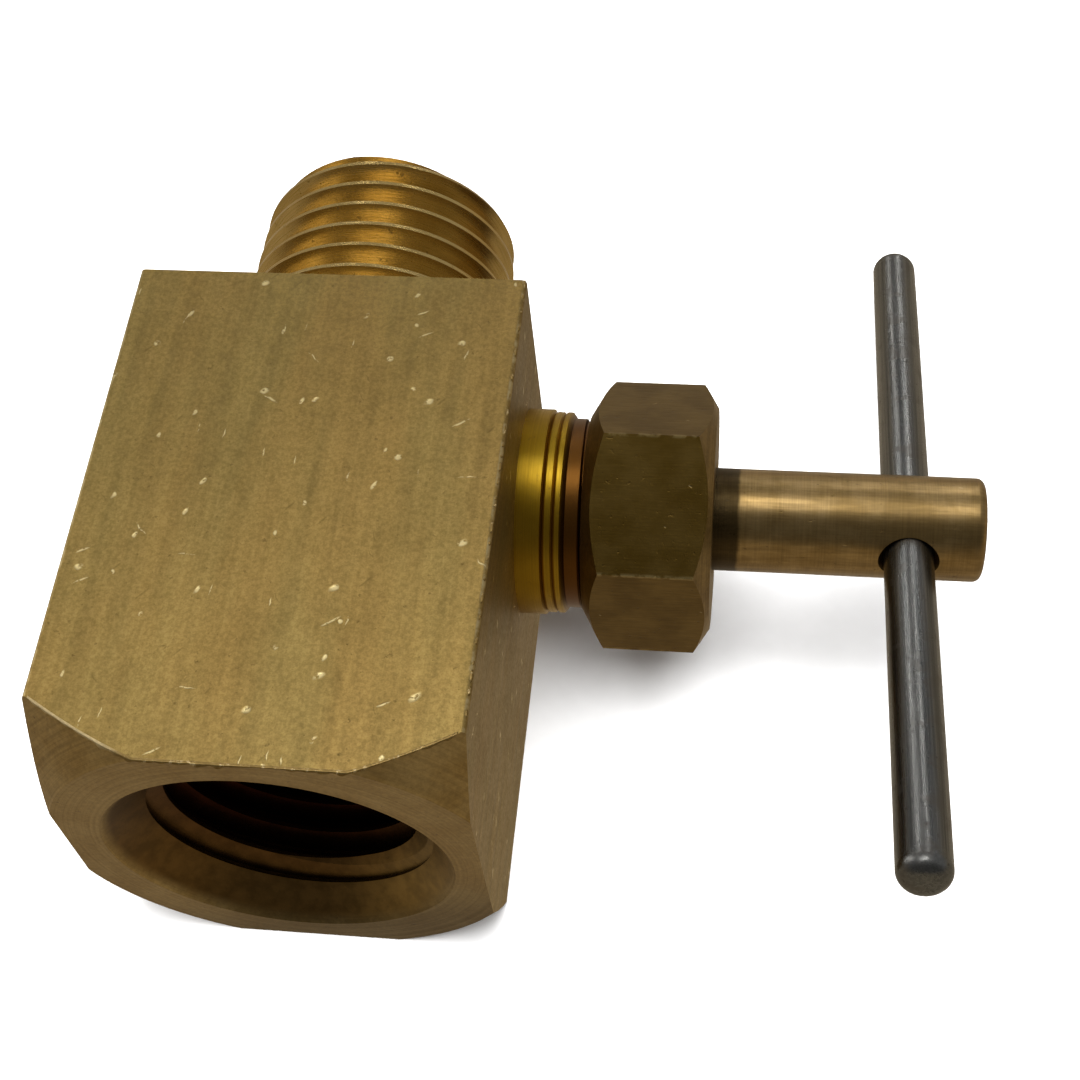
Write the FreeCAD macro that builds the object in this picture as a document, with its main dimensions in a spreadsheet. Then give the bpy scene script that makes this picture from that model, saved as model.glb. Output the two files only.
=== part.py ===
import FreeCAD, Part
import os
import re
import Sketcher
from FreeCAD import Placement, Rotation, Vector

# Needle valve for a pipe line: a square brass body with a female and a male pipe thread in line,
# and a T-handled stem that screws through a side bonnet to lift a needle off its seat.
#
# Frame, in millimetres: the origin is the centre of the female port's mouth. +Y runs along the flow
# line to the male thread, +X runs out along the stem to the T-bar, and +Z is up. At rest the valve
# is drawn part open, and it lies on the body's bottom face.
#
# Every turned piece is modelled about its own Z axis. On the stem line, Z = 0 is the side face of
# the body that the bonnet stands on, and Z grows outwards.

DIMENSIONS = [
    # the square bar body
    ("block_width", 18.7),
    ("block_length", 25.7),
    ("block_offset", -0.2),
    ("block_edge_radius", 0.25),
    ("turned_radius", 10.24),
    ("turned_offset_across", 0.22),
    ("turned_offset_up", 0.12),
    ("turned_angle", 40),
    ("turned_reach", 15),
    # pipe threads, tapered 1 in 16 on diameter
    ("pipe_pitch", 1.411),
    ("pipe_depth", 0.94),
    ("pipe_root_flat", 0.12),
    ("pipe_half_taper", 1.7899),
    ("male_length", 10.8),
    ("male_base_radius", 7.03),
    ("male_end_chamfer", 0.9),
    ("male_end_step", 0.5),
    ("male_runout", 1.0),
    ("male_bore_radius", 3.6),
    ("male_bore_depth", 11.4),
    ("male_bore_chamfer", 0.4),
    ("sink_radius", 7.9),
    ("sink_half_angle", 41),
    ("tap_drill_radius", 5.56),
    ("tap_drill_depth", 11.0),
    ("drill_point_angle", 31),
    ("drill_flat_radius", 0.3),
    ("female_thread_depth", 9.0),
    ("female_root_radius", 6.8),
    # passages inside the body
    ("stem_height", 18.92),
    ("outlet_radius", 1.35),
    ("inlet_radius", 1.3),
    ("inlet_offset", -4.2),
    ("chamber_radius", 3.6),
    ("chamber_top", -7.4),
    ("hole_relief", 1.2),
    ("hole_chamfer", 0.45),
    ("hole_mouth_play", 0.05),
    ("seat_top", -10.5),
    ("seat_drop", 0.45),
    ("orifice_radius", 1.25),
    ("orifice_end", -14.9),
    # how far a cutting outline starts outside the metal
    ("cutter_reach", 1.0),
    ("thread_cutter_reach", 0.03),
    # clearance on every mating thread, square to its flanks
    ("thread_play", 0.08),
    # the undercuts that threads run out into are a little wider than the threads' roots
    ("relief_play", 0.14),
    ("relief_bevel", 0.3),
    # bonnet, screwed into the body
    ("bonnet_pitch", 1.0),
    ("bonnet_crest_radius", 4.5),
    ("bonnet_thread_depth", 0.5),
    ("bonnet_root_flat", 0.2),
    ("bonnet_foot", -7.0),
    ("bonnet_relief", -1.0),
    ("collar_radius", 5.02),
    ("collar_length", 1.18),
    # two beads turned on the neck between the collar and the undercut
    ("bead_radius", 4.91),
    ("bead_groove", 0.12),
    ("first_groove", 1.26),
    ("first_bead_start", 1.38),
    ("first_bead_end", 1.66),
    ("second_groove", 1.76),
    ("second_bead_start", 1.86),
    ("second_bead_end", 2.08),
    ("undercut_start", 2.3),
    ("undercut_end", 2.9),
    ("undercut_radius", 4.62),
    ("undercut_bevel", 0.2),
    ("bonnet_top", 6.4),
    ("bonnet_end_chamfer", 0.3),
    ("shaft_hole_radius", 2.56),
    ("backseat", -0.55),
    ("backseat_relief", 0.8),
    ("packing_bore_radius", 3.5),
    ("packing_floor", 1.5),
    # packing nut thread on the bonnet
    ("nut_pitch", 0.75),
    ("nut_crest_radius", 4.84),
    ("nut_thread_depth", 0.36),
    ("nut_root_flat", 0.18),
    # hexagon packing nut
    ("nut_start", 3.0),
    ("nut_end", 9.16),
    ("nut_across_flats", 11.34),
    ("nut_turn", -1.5),
    ("nut_inner_chamfer_radius", 4.72),
    ("nut_inner_chamfer_angle", 30),
    ("nut_outer_chamfer_radius", 5.36),
    ("nut_outer_chamfer_angle", 32),
    ("nut_ceiling", 7.54),
    ("nut_thread_end", 6.9),
    ("nut_hole_radius", 2.6),
    ("nut_hole_chamfer", 0.25),
    # stem
    ("stem_radius", 2.49),
    ("stem_end", 21.9),
    ("stem_end_round", 0.4),
    ("stem_pitch", 0.907),
    ("stem_crest_radius", 3.12),
    ("stem_thread_depth", 0.45),
    ("stem_root_flat", 0.2),
    ("stem_thread_start", -6.6),
    ("stem_thread_end", -3.2),
    ("stem_foot", -7.6),
    ("stem_foot_radius", 2.2),
    ("stem_foot_chamfer", 0.2),
    ("socket_radius", 1.53),
    ("socket_neck_radius", 1.12),
    ("socket_lip", 1.6),
    ("socket_depth", 2.65),
    # needle tip, free to turn in the stem's foot
    ("tip_head_radius", 1.45),
    ("tip_neck_radius", 1.05),
    ("tip_play", 0.06),
    ("tip_radius", 1.7),
    ("tip_skirt", 0.75),
    ("tip_half_angle", 25),
    ("tip_point_radius", 0.35),
    ("tip_point_chamfer", 0.15),
    ("tip_point_height", 0.2),
    ("tip_head_chamfer", 0.3),
    ("closing_travel", 1.5),
    # packing
    ("seal_inner_radius", 3.65),
    ("seal_outer_radius", 4.45),
    ("ring_inner_radius", 2.53),
    ("ring_outer_radius", 3.46),
    ("ring_height", 0.9),
    ("ring_gap", 0.02),
    ("ring_vee", 0.22),
    ("washer_height", 0.5),
    ("follower_flange_radius", 4.2),
    ("follower_flange_start", 6.65),
    ("follower_top", 7.5),
    ("follower_chamfer", 0.15),
    ("follower_play", 0.08),
    # T-bar
    ("bar_radius", 1.17),
    ("bar_height", 18.37),
    ("bar_tilt", 16.46),
    ("bar_long_side", 23.15),
    ("bar_short_side", 21.64),
    ("bar_end_round", 0.75),
    ("bar_hole_play", 0.01),
    ("bar_sink_radius", 1.42),
    ("bar_sink_reach", 0.35),
]

doc = FreeCAD.newDocument("needle_valve")
sheet = doc.addObject("Spreadsheet::Sheet", "dims")
for row, (alias, number) in enumerate(DIMENSIONS, 1):
    sheet.set(f"A{row}", alias)
    sheet.set(f"B{row}", str(number))
    sheet.setAlias(f"B{row}", alias)
doc.recompute()

ALIASES = {alias for alias, _ in DIMENSIONS}
FLANK = "30 deg"
RINGS = ("packing_ring_lower", "packing_ring_middle", "packing_ring_upper")


def bound(words):
    """Turns a formula written with plain aliases into one that reads the sheet's cells."""
    return re.sub("[a-z_]+", lambda found: f"dims.{found[0]}" if found[0] in ALIASES else found[0], words)


def angle_of(alias):
    """An angle in the sheet is a plain number of degrees."""
    return f"{alias} * 1 deg"


def value(owner, words):
    """A formula's present value."""
    return float(owner.evalExpression(bound(words)))


def new_body(label):
    """A sub-part of its own, named as its file will be."""
    body = doc.addObject("PartDesign::Body", label)
    body.Label = label
    return body


def origin_plane(body, role):
    """One of a body's own origin planes."""
    return next(item for item in body.Origin.OriginFeatures if item.Role == role)


def new_sketch(body, name, role):
    """An empty sketch on one of the body's origin planes."""
    sketch = body.newObject("Sketcher::SketchObject", name)
    sketch.AttachmentSupport = (origin_plane(body, role), [""])
    sketch.MapMode = "FlatFace"
    return sketch


def pin_corner(sketch, line, kind, axis, words, number):
    """Fixes one coordinate of a line's first end: on the axis, or at a distance from it."""
    if abs(number) < 1e-9:
        sketch.addConstraint(Sketcher.Constraint("PointOnObject", line, 1, axis))
        return
    index = sketch.addConstraint(Sketcher.Constraint(kind, -1, 1, line, 1, number))
    sketch.setExpression(f"Constraints[{index}]", bound(words))


def outline(body, name, role, corners):
    """A closed outline of straight edges. Each corner is two formulas, across and up the plane."""
    sketch = new_sketch(body, name, role)
    points = [Vector(value(body, across), value(body, up), 0) for across, up in corners]
    for point, following in zip(points, points[1:] + points[:1]):
        sketch.addGeometry(Part.LineSegment(point, following), False)
    for line, (across, up) in enumerate(corners):
        before = (line - 1) % len(corners)
        sketch.addConstraint(Sketcher.Constraint("Coincident", before, 2, line, 1))
        pin_corner(sketch, line, "DistanceX", -2, across, points[line].x)
        pin_corner(sketch, line, "DistanceY", -1, up, points[line].y)
    return sketch


def revolved(body, name, corners, kind="Revolution", role="XZ_Plane", axis="V_Axis"):
    """Turns an outline about an axis of its sketch, to add metal or, as a Groove, to cut it."""
    sketch = outline(body, f"{name}_outline", role, corners)
    feature = body.newObject(f"PartDesign::{kind}", name)
    feature.Profile = sketch
    feature.ReferenceAxis = (sketch, [axis])
    feature.Angle = 360
    return feature


def shifted(feature, **formulas):
    """Moves or turns a feature's sketch from its origin plane."""
    sketch = feature.Profile[0]
    for place, words in formulas.items():
        target = "AttachmentOffset.Rotation.Angle" if place == "angle" else f"AttachmentOffset.Base.{place}"
        sketch.setExpression(target, bound(words))
    return feature


def thread(body, name, inner, radius, depth, flat, pitch, start, length, taper=None, sideways=False):
    """Cuts a right-handed 60 degree thread groove, at a male crest or a female bore of this radius.

    The groove's own outline stands at the height called start. It has a flat at its root, and it
    reaches a little past the surface that it cuts.
    """
    side = "+" if inner else "-"
    other = "-" if inner else "+"
    root = f"{radius} {side} {depth}"
    mouth = f"{radius} {other} thread_cutter_reach"
    half_root = f"{flat} / 2"
    half_mouth = f"{flat} / 2 + ({depth} + thread_cutter_reach) * tan({FLANK})"
    corners = [
        (mouth, f"{start} - ({half_mouth})"),
        (root, f"{start} - {half_root}"),
        (root, f"{start} + {half_root}"),
        (mouth, f"{start} + {half_mouth}"),
    ]
    if sideways:
        corners = [(up, across) for across, up in corners]
    sketch = outline(body, f"{name}_outline", "XZ_Plane", corners)
    if sideways:
        sketch.setExpression("AttachmentOffset.Base.y", bound("stem_height"))
    groove = body.newObject("PartDesign::SubtractiveHelix", name)
    groove.Profile = sketch
    groove.ReferenceAxis = (sketch, ["H_Axis" if sideways else "V_Axis"])
    groove.Mode = "pitch-height-angle"
    groove.setExpression("Pitch", bound(pitch))
    groove.setExpression("Height", bound(length))
    if taper:
        groove.setExpression("Angle", bound(f"-1 * {taper} * 1 deg"))
    return groove


def edges_where(feature, test):
    """The names of a feature's edges that pass a test."""
    doc.recompute()
    return [f"Edge{index}" for index, edge in enumerate(feature.Shape.Edges, 1) if test(edge)]


def rounded(body, name, feature, test, words):
    """Rounds the edges of a feature that pass a test."""
    fillet = body.newObject("PartDesign::Fillet", name)
    fillet.Base = (feature, edges_where(feature, test))
    fillet.setExpression("Radius", bound(words))
    return fillet


def rim_at(height, radius):
    """A test for a circular edge of this radius about the Z axis at this height."""

    def test(edge):
        box = edge.BoundBox
        level = abs(box.ZMax - height) < 1e-4 and abs(box.ZMin - height) < 1e-4
        return level and abs(box.XLength - 2 * radius) < 1e-3

    return test


def on_stem_line(body):
    """Stands a piece on the stem's line, with its Z axis pointing out of the body's side face."""
    body.Placement = Placement(Vector(0, 0, 0), Rotation(Vector(0, 1, 0), 90))
    body.setExpression("Placement.Base.x", bound("block_offset + block_width / 2"))
    body.setExpression("Placement.Base.y", bound("stem_height"))


def mating_bore(crest, depth):
    """The bore that a male thread of this crest radius and depth screws into."""
    return f"{crest} - {depth} + thread_play"


def mating_flat(pitch, depth, flat):
    """The root flat of a female groove that clears the male ridge by the play all round."""
    play = f"2 * thread_play * (1 / cos({FLANK}) - tan({FLANK}))"
    return f"({pitch} - {flat} - 2 * {depth} * tan({FLANK}) + {play})"


def make_valve_body():
    """The square bar with its ports, passages and seat. Its own Z axis is the flow line."""
    body = new_body("valve_body")
    body.Placement = Placement(Vector(0, 0, 0), Rotation(Vector(1, 0, 0), -90))
    left = "block_offset - block_width / 2"
    right = "block_offset + block_width / 2"
    half = "block_width / 2"
    square = [(left, f"0 - {half}"), (right, f"0 - {half}"), (right, half), (left, half)]
    bar = body.newObject("PartDesign::Pad", "bar")
    bar.Profile = outline(body, "bar_outline", "XY_Plane", square)
    bar.setExpression("Length", bound("block_length"))
    length = value(body, "block_length")

    def along(edge):
        return abs(edge.BoundBox.ZLength - length) < 1e-6

    rounded(body, "bar_edges", bar, along, "block_edge_radius")

    # the lathe cut that turns the front corners down to a cone, a little off the bar's centre
    slope = f"tan({angle_of('turned_angle')})"
    cone = [
        ("turned_radius - cutter_reach", f"0 - cutter_reach * {slope}"),
        ("turned_reach", f"0 - cutter_reach * {slope}"),
        ("turned_reach", f"(turned_reach - turned_radius) * {slope}"),
    ]
    front = revolved(body, "front_turning", cone, "Groove")
    shifted(front, x="turned_offset_across", z="turned_offset_up")

    # the male blank: a cone that narrows to the end, with a chamfer
    narrowing = f"tan({angle_of('pipe_half_taper')})"
    end = "block_length + male_length"
    tip_radius = f"male_base_radius - (male_length - male_end_chamfer) * {narrowing}"
    blank = [
        ("0", "block_length - cutter_reach"),
        ("male_base_radius", "block_length - cutter_reach"),
        ("male_base_radius", "block_length"),
        (tip_radius, f"{end} - male_end_chamfer"),
        (f"{tip_radius} - male_end_step", end),
        ("0", end),
    ]
    revolved(body, "male_blank", blank)
    thread(
        body,
        "male_thread",
        False,
        f"male_base_radius - male_runout * {narrowing}",
        "pipe_depth",
        "pipe_root_flat",
        "pipe_pitch",
        "block_length + male_runout",
        "male_length + pipe_pitch",
        "pipe_half_taper",
    )

    # outlet: a wide bore in the male end and a small hole on to the stem's chamber
    drill = f"tan({angle_of('drill_point_angle')})"
    outlet = [
        ("0", f"{end} + cutter_reach"),
        ("male_bore_radius + male_bore_chamfer + cutter_reach", f"{end} + cutter_reach"),
        ("male_bore_radius", f"{end} - male_bore_chamfer"),
        ("male_bore_radius", f"{end} - male_bore_depth"),
        ("outlet_radius", f"{end} - male_bore_depth - (male_bore_radius - outlet_radius) * {drill}"),
        ("outlet_radius", "stem_height"),
        ("0", "stem_height"),
    ]
    revolved(body, "outlet", outlet, "Groove")

    # inlet: countersunk mouth, a tapping hole reamed to the thread's taper as deep as the thread
    # goes, with its drill point, then the thread
    sink = f"tan({angle_of('sink_half_angle')})"
    reamed_mouth = f"(tap_drill_radius + female_thread_depth * {narrowing})"
    sink_depth = f"(sink_radius - {reamed_mouth}) / ({sink} - {narrowing})"
    drill_point = f"tap_drill_depth + (tap_drill_radius - drill_flat_radius) * {drill}"
    mouth = [
        ("0", "0 - cutter_reach"),
        (f"sink_radius + cutter_reach * {sink}", "0 - cutter_reach"),
        (f"{reamed_mouth} - {sink_depth} * {narrowing}", sink_depth),
        ("tap_drill_radius", "female_thread_depth"),
        ("tap_drill_radius", "tap_drill_depth"),
        ("drill_flat_radius", drill_point),
        ("0", drill_point),
    ]
    revolved(body, "inlet", mouth, "Groove")
    thread(
        body,
        "female_thread",
        True,
        f"({reamed_mouth} + pipe_pitch * {narrowing})",
        f"(female_root_radius - {reamed_mouth})",
        "pipe_root_flat",
        "pipe_pitch",
        "0 - pipe_pitch",
        "female_thread_depth + pipe_pitch",
        "pipe_half_taper",
    )

    # the stem's cavity, bored from the side face, with the conical seat at its end
    face = "block_offset + block_width / 2"
    bonnet_bore = mating_bore("bonnet_crest_radius", "bonnet_thread_depth")
    hole_mouth = "bonnet_crest_radius + thread_play + hole_mouth_play"
    needle_slope = f"tan({angle_of('tip_half_angle')})"
    cavity = [
        (f"{face} + cutter_reach", "0"),
        (f"{face} + cutter_reach", f"{hole_mouth} + hole_chamfer"),
        (face, hole_mouth),
        (f"{face} - hole_chamfer", bonnet_bore),
        (f"{face} + chamber_top + hole_relief", bonnet_bore),
        (f"{face} + chamber_top + hole_relief - relief_bevel", "bonnet_crest_radius + relief_play"),
        (f"{face} + chamber_top", "bonnet_crest_radius + relief_play"),
        (f"{face} + chamber_top", "chamber_radius"),
        (f"{face} + seat_top", "chamber_radius"),
        (f"{face} + seat_top", f"orifice_radius + seat_drop * {needle_slope}"),
        (f"{face} + seat_top - seat_drop", "orifice_radius"),
        (f"{face} + orifice_end", "orifice_radius"),
        (f"{face} + orifice_end", "0"),
    ]
    shifted(revolved(body, "stem_cavity", cavity, "Groove", axis="H_Axis"), y="stem_height")
    doc.recompute()
    thread(
        body,
        "bonnet_thread",
        True,
        bonnet_bore,
        "bonnet_thread_depth",
        mating_flat("bonnet_pitch", "bonnet_thread_depth", "bonnet_root_flat"),
        "bonnet_pitch",
        f"{face} + bonnet_foot + bonnet_pitch / 4",
        "bonnet_pitch - bonnet_foot",
        sideways=True,
    )

    passage = new_sketch(body, "inlet_passage_outline", "XY_Plane")
    centre = Vector(value(body, "inlet_offset"), 0, 0)
    passage.addGeometry(Part.Circle(centre, Vector(0, 0, 1), value(body, "inlet_radius")), False)
    passage.addConstraint(Sketcher.Constraint("PointOnObject", 0, 3, -1))
    across = passage.addConstraint(Sketcher.Constraint("DistanceX", -1, 1, 0, 3, centre.x))
    passage.setExpression(f"Constraints[{across}]", bound("inlet_offset"))
    radius = passage.addConstraint(Sketcher.Constraint("Radius", 0, value(body, "inlet_radius")))
    passage.setExpression(f"Constraints[{radius}]", bound("inlet_radius"))
    hole = body.newObject("PartDesign::Pocket", "inlet_passage")
    hole.Profile = passage
    hole.Reversed = True
    hole.setExpression("Length", bound("stem_height"))
    return body


def make_bonnet():
    """The turned neck that carries the stem thread, the packing and the nut."""
    body = new_body("bonnet")
    thread_root = "bonnet_crest_radius - bonnet_thread_depth"
    stem_bore = mating_bore("stem_crest_radius", "stem_thread_depth")
    shell = [
        (thread_root, "bonnet_foot"),
        ("bonnet_crest_radius", "bonnet_foot + bonnet_thread_depth"),
        ("bonnet_crest_radius", "bonnet_relief - relief_bevel"),
        (thread_root, "bonnet_relief"),
        (thread_root, "0"),
        ("collar_radius", "0"),
        ("collar_radius", "collar_length"),
        ("bead_radius - bead_groove", "first_groove"),
        ("bead_radius", "first_bead_start"),
        ("bead_radius", "first_bead_end"),
        ("bead_radius - bead_groove", "second_groove"),
        ("bead_radius", "second_bead_start"),
        ("bead_radius", "second_bead_end"),
        ("undercut_radius", "undercut_start"),
        ("undercut_radius", "undercut_end"),
        ("nut_crest_radius", "undercut_end + undercut_bevel"),
        ("nut_crest_radius", "bonnet_top - bonnet_end_chamfer"),
        ("nut_crest_radius - nut_thread_depth", "bonnet_top"),
        ("packing_bore_radius", "bonnet_top"),
        ("packing_bore_radius", "packing_floor"),
        ("shaft_hole_radius", "packing_floor"),
        ("shaft_hole_radius", "backseat"),
        ("stem_crest_radius + relief_play", "backseat"),
        ("stem_crest_radius + relief_play", "backseat - backseat_relief"),
        (stem_bore, "backseat - backseat_relief - relief_bevel"),
        (stem_bore, "bonnet_foot"),
    ]
    revolved(body, "shell", shell)
    thread(
        body,
        "body_thread",
        False,
        "bonnet_crest_radius",
        "bonnet_thread_depth",
        "bonnet_root_flat",
        "bonnet_pitch",
        "bonnet_foot - bonnet_pitch / 2",
        "bonnet_relief - bonnet_foot + bonnet_pitch / 2",
    )
    thread(
        body,
        "nut_thread",
        False,
        "nut_crest_radius",
        "nut_thread_depth",
        "nut_root_flat",
        "nut_pitch",
        "undercut_end - nut_pitch / 4",
        "bonnet_top - undercut_end + nut_pitch",
    )
    thread(
        body,
        "stem_nut_thread",
        True,
        stem_bore,
        "stem_thread_depth",
        mating_flat("stem_pitch", "stem_thread_depth", "stem_root_flat"),
        "stem_pitch",
        "stem_thread_start - 1.5 * stem_pitch",
        "backseat - stem_thread_start + 1.2 * stem_pitch",
    )
    on_stem_line(body)
    return body


def make_bonnet_seal():
    """A soft copper washer at the foot of the bonnet's hole."""
    body = new_body("bonnet_seal")
    washer = [
        ("seal_inner_radius", "chamber_top + ring_gap"),
        ("seal_outer_radius", "chamber_top + ring_gap"),
        ("seal_outer_radius", "bonnet_foot - ring_gap"),
        ("seal_inner_radius", "bonnet_foot - ring_gap"),
    ]
    revolved(body, "washer", washer)
    on_stem_line(body)
    return body


def make_backing_washer():
    """The flat washer under the packing."""
    body = new_body("backing_washer")
    washer = [
        ("shaft_hole_radius", "packing_floor"),
        ("packing_bore_radius - follower_play", "packing_floor"),
        ("packing_bore_radius - follower_play", "packing_floor + washer_height"),
        ("shaft_hole_radius", "packing_floor + washer_height"),
    ]
    revolved(body, "washer", washer)
    on_stem_line(body)
    return body


def make_packing_ring(label, number):
    """One soft ring of the packing. The rings nest in shallow vees."""
    body = new_body(label)
    foot = f"packing_floor + washer_height + ring_gap + {number} * (ring_height + ring_gap)"
    top = f"{foot} + ring_height"
    middle = "(ring_inner_radius + ring_outer_radius) / 2"
    ring = [("ring_inner_radius", top), ("ring_inner_radius", foot)]
    if number > 0:
        ring.append((middle, f"{foot} + ring_vee"))
    ring += [("ring_outer_radius", foot), ("ring_outer_radius", top)]
    if number < len(RINGS) - 1:
        ring.append((middle, f"{top} + ring_vee"))
    revolved(body, f"{label}_section", ring)
    on_stem_line(body)
    return body


def make_gland_follower():
    """The flanged sleeve between the nut and the packing."""
    body = new_body("gland_follower")
    foot = f"packing_floor + washer_height + {len(RINGS)} * (ring_height + ring_gap) + 2 * ring_gap"
    sleeve = [
        ("shaft_hole_radius", foot),
        ("packing_bore_radius - follower_play", foot),
        ("packing_bore_radius - follower_play", "follower_flange_start"),
        ("follower_flange_radius", "follower_flange_start"),
        ("follower_flange_radius", "follower_top - follower_chamfer"),
        ("follower_flange_radius - follower_chamfer", "follower_top"),
        ("shaft_hole_radius", "follower_top"),
    ]
    revolved(body, "sleeve", sleeve)
    on_stem_line(body)
    return body


def make_packing_nut():
    """The hexagon nut, turned to a cone at both ends."""
    body = new_body("packing_nut")
    corner = "nut_across_flats / sqrt(3)"
    hexagon = []
    for across, up in ((1, 0), (0.5, 1), (-0.5, 1), (-1, 0), (-0.5, -1), (0.5, -1)):
        hexagon.append((f"{across} * {corner}", f"{up} * nut_across_flats / 2"))
    sketch = outline(body, "hexagon_outline", "XY_Plane", hexagon)
    sketch.setExpression("AttachmentOffset.Base.z", bound("nut_start"))
    sketch.setExpression("AttachmentOffset.Rotation.Angle", bound("nut_turn * 1 deg"))
    prism = body.newObject("PartDesign::Pad", "hexagon")
    prism.Profile = sketch
    prism.setExpression("Length", bound("nut_end - nut_start"))

    inner = f"tan({angle_of('nut_inner_chamfer_angle')})"
    outer = f"tan({angle_of('nut_outer_chamfer_angle')})"
    reach = "nut_across_flats"
    inner_cone = [
        ("nut_inner_chamfer_radius - cutter_reach", f"nut_start - cutter_reach * {inner}"),
        (reach, f"nut_start - cutter_reach * {inner}"),
        (reach, f"nut_start + ({reach} - nut_inner_chamfer_radius) * {inner}"),
    ]
    outer_cone = [
        ("nut_outer_chamfer_radius - cutter_reach", f"nut_end + cutter_reach * {outer}"),
        (reach, f"nut_end + cutter_reach * {outer}"),
        (reach, f"nut_end - ({reach} - nut_outer_chamfer_radius) * {outer}"),
    ]
    revolved(body, "inner_chamfer", inner_cone, "Groove")
    revolved(body, "outer_chamfer", outer_cone, "Groove")
    bore = mating_bore("nut_crest_radius", "nut_thread_depth")
    hollow = [
        ("0", "nut_start - cutter_reach"),
        ("nut_crest_radius + thread_play + cutter_reach", "nut_start - cutter_reach"),
        ("nut_crest_radius + thread_play", "nut_start"),
        (bore, f"nut_start + nut_crest_radius + thread_play - ({bore})"),
        (bore, "nut_ceiling"),
        ("nut_hole_radius", "nut_ceiling"),
        ("nut_hole_radius", "nut_end - nut_hole_chamfer"),
        ("nut_hole_radius + nut_hole_chamfer + cutter_reach", "nut_end + cutter_reach"),
        ("0", "nut_end + cutter_reach"),
    ]
    revolved(body, "hollow", hollow, "Groove")
    thread(
        body,
        "bonnet_thread",
        True,
        bore,
        "nut_thread_depth",
        mating_flat("nut_pitch", "nut_thread_depth", "nut_root_flat"),
        "nut_pitch",
        "undercut_end - 0.75 * nut_pitch",
        "nut_thread_end - undercut_end + 0.75 * nut_pitch",
    )
    on_stem_line(body)
    return body


def make_stem():
    """The stem: shaft, lifting thread, foot with a socket for the needle, and the T-bar's hole."""
    body = new_body("stem")
    thread_root = "stem_crest_radius - stem_thread_depth"
    shaft = [
        ("socket_neck_radius", "stem_foot"),
        ("stem_foot_radius - stem_foot_chamfer", "stem_foot"),
        ("stem_foot_radius", "stem_foot + stem_foot_chamfer"),
        ("stem_foot_radius", "stem_thread_start"),
        (thread_root, "stem_thread_start"),
        ("stem_crest_radius", "stem_thread_start + stem_thread_depth"),
        ("stem_crest_radius", "stem_thread_end - stem_thread_depth"),
        (thread_root, "stem_thread_end"),
        ("stem_radius", "stem_thread_end"),
        ("stem_radius", "stem_end"),
        ("0", "stem_end"),
        ("0", "stem_foot + socket_depth"),
        ("socket_radius", "stem_foot + socket_depth"),
        ("socket_radius", "stem_foot + socket_lip"),
        ("socket_neck_radius", "stem_foot + socket_lip"),
    ]
    turned = revolved(body, "shaft", shaft)
    end_rim = rim_at(value(body, "stem_end"), value(body, "stem_radius"))
    rounded(body, "end_round", turned, end_rim, "stem_end_round")
    thread(
        body,
        "lifting_thread",
        False,
        "stem_crest_radius",
        "stem_thread_depth",
        "stem_root_flat",
        "stem_pitch",
        "stem_thread_start - stem_pitch",
        "stem_thread_end - stem_thread_start + 2 * stem_pitch",
    )
    hole = "bar_radius + bar_hole_play"
    reach = "stem_radius + cutter_reach"
    flare = "bar_sink_radius + (bar_sink_radius - bar_radius) * cutter_reach / bar_sink_reach"
    cross_hole = [
        ("0", f"0 - ({reach})"),
        (flare, f"0 - ({reach})"),
        (hole, "bar_sink_reach - stem_radius"),
        (hole, "stem_radius - bar_sink_reach"),
        (flare, reach),
        ("0", reach),
    ]
    bar_hole = revolved(body, "bar_hole", cross_hole, "Groove", role="XY_Plane")
    bar_hole.Profile[0].AttachmentOffset = Placement(Vector(0, 0, 0), Rotation(Vector(0, 0, 1), 1))
    shifted(bar_hole, z="bar_height", angle="-1 * bar_tilt * 1 deg")
    on_stem_line(body)
    return body


def make_needle_tip():
    """The conical needle, swaged into the stem's foot so that it can turn there."""
    body = new_body("needle_tip")
    skirt_top = "stem_foot - tip_play"
    cone_top = f"{skirt_top} - tip_skirt"
    cone_foot = f"{cone_top} - (tip_radius - tip_point_radius) / tan({angle_of('tip_half_angle')})"
    needle = [
        ("0", f"{cone_foot} - tip_point_height"),
        ("tip_point_radius - tip_point_chamfer", f"{cone_foot} - tip_point_height"),
        ("tip_point_radius", cone_foot),
        ("tip_radius", cone_top),
        ("tip_radius", skirt_top),
        ("tip_neck_radius", skirt_top),
        ("tip_neck_radius", "stem_foot + socket_lip + tip_play"),
        ("tip_head_radius", "stem_foot + socket_lip + tip_play"),
        ("tip_head_radius", "stem_foot + socket_depth - tip_play - tip_head_chamfer"),
        ("tip_head_radius - tip_head_chamfer", "stem_foot + socket_depth - tip_play"),
        ("0", "stem_foot + socket_depth - tip_play"),
    ]
    revolved(body, "needle", needle)
    on_stem_line(body)
    return body


def make_t_bar():
    """The steel cross bar, driven through the stem and left a little off centre."""
    body = new_body("t_bar")
    rod = [
        ("0", "0 - bar_short_side"),
        ("bar_radius", "0 - bar_short_side"),
        ("bar_radius", "bar_long_side"),
        ("0", "bar_long_side"),
    ]
    turned = revolved(body, "rod", rod)
    radius = value(body, "bar_radius")
    far = rim_at(value(body, "bar_long_side"), radius)
    near = rim_at(value(body, "0 - bar_short_side"), radius)
    rounded(body, "rod_ends", turned, lambda edge: far(edge) or near(edge), "bar_end_round")
    body.Placement = Placement(Vector(0, 0, 0), Rotation(Vector(1, 0, 0), -90))
    body.setExpression("Placement.Rotation.Angle", bound("-1 * ( 90 + bar_tilt ) * 1 deg"))
    body.setExpression("Placement.Base.x", bound("block_offset + block_width / 2 + bar_height"))
    body.setExpression("Placement.Base.y", bound("stem_height"))
    return body


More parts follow.
